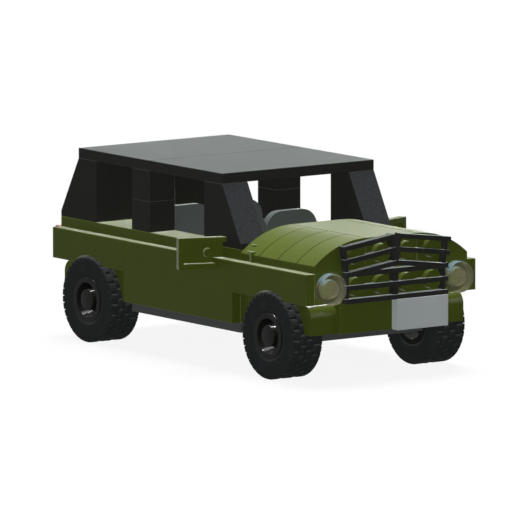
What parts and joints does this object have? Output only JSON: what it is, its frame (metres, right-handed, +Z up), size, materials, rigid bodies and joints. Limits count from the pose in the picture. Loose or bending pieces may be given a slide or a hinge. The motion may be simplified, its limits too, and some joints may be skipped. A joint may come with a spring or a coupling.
{
  "type": "toy army four-wheel-drive car",
  "caption": "Brick-built toy army car with a raked cab, curved hood, barred grille, swept wing mirrors and freely turning knobbly wheels.",
  "frame": {"origin": "on the ground, on the car's centreline, midway between the axles", "axes": "+X forward, +Y to the car's left, +Z up"},
  "size_m": [0.1174, 0.072, 0.0498],
  "materials": {
    "olive_plastic": "smooth moulded plastic in olive green",
    "black_plastic": "smooth moulded plastic in black",
    "grey_plastic": "smooth moulded plastic in dark grey",
    "light_grey_plastic": "smooth moulded plastic in light grey, blank",
    "tyre": "soft black rubber with a block tread",
    "clear_plastic": "clear moulded plastic",
    "red_plastic": "transparent red moulded plastic"
  },
  "bodies": {
    "root": {"chassis_plate": "grey_plastic", "front_axle_plate": "grey_plastic", "rear_axle_plate": "grey_plastic", "wing_front_left": "olive_plastic", "wing_front_right": "olive_plastic", "wing_rear_left": "olive_plastic", "wing_rear_right": "olive_plastic", "seat_front_left": "grey_plastic", "seat_front_right": "grey_plastic", "seat_rear_left": "grey_plastic", "seat_rear_right": "grey_plastic", "front_block": "olive_plastic", "rear_block": "olive_plastic", "load_deck": "olive_plastic", "waist_left": "olive_plastic", "waist_right": "olive_plastic", "hood_top": "olive_plastic", "hood_side_left": "olive_plastic", "hood_side_right": "olive_plastic", "cab_wall_left": "olive_plastic", "cab_wall_right": "olive_plastic", "side_panel_front_left": "olive_plastic", "side_panel_front_right": "olive_plastic", "side_panel_middle_left": "olive_plastic", "side_panel_middle_right": "olive_plastic", "side_panel_rear_left": "olive_plastic", "side_panel_rear_right": "olive_plastic", "front_pillar_left": "black_plastic", "front_pillar_right": "black_plastic", "middle_pillar_left": "black_plastic", "middle_pillar_right": "black_plastic", "rear_wall_centre": "black_plastic", "rear_wall_inner_left": "black_plastic", "rear_wall_inner_right": "black_plastic", "rear_wall_left": "black_plastic", "rear_wall_right": "black_plastic", "roof_front": "black_plastic", "roof_rear": "black_plastic", "grille_lower_left": "black_plastic", "grille_lower_right": "black_plastic", "grille_upper_left": "black_plastic", "grille_upper_right": "black_plastic", "headlamp_left": "clear_plastic", "headlamp_right": "clear_plastic", "tail_lamp_left": "red_plastic", "tail_lamp_right": "red_plastic", "number_plate": "light_grey_plastic", "mirror_left": "olive_plastic", "mirror_right": "olive_plastic"},
    "wheel_front_left": {"tyre_front_left": "tyre", "rim_front_left": "black_plastic"},
    "wheel_front_right": {"tyre_front_right": "tyre", "rim_front_right": "black_plastic"},
    "wheel_rear_left": {"tyre_rear_left": "tyre", "rim_rear_left": "black_plastic"},
    "wheel_rear_right": {"tyre_rear_right": "tyre", "rim_rear_right": "black_plastic"}
  },
  "joints": [
    {"name": "front_left_wheel_turns", "type": "hinge", "parent": "root", "child": "wheel_front_left", "pos_m": [0.04, 0.0225, 0.0111], "axis": [0, 1, 0], "continuous": true},
    {"name": "front_right_wheel_turns", "type": "hinge", "parent": "root", "child": "wheel_front_right", "pos_m": [0.04, -0.0225, 0.0111], "axis": [0, 1, 0], "continuous": true},
    {"name": "rear_left_wheel_turns", "type": "hinge", "parent": "root", "child": "wheel_rear_left", "pos_m": [-0.04, 0.0225, 0.0111], "axis": [0, 1, 0], "continuous": true},
    {"name": "rear_right_wheel_turns", "type": "hinge", "parent": "root", "child": "wheel_rear_right", "pos_m": [-0.04, -0.0225, 0.0111], "axis": [0, 1, 0], "continuous": true}
  ]
}
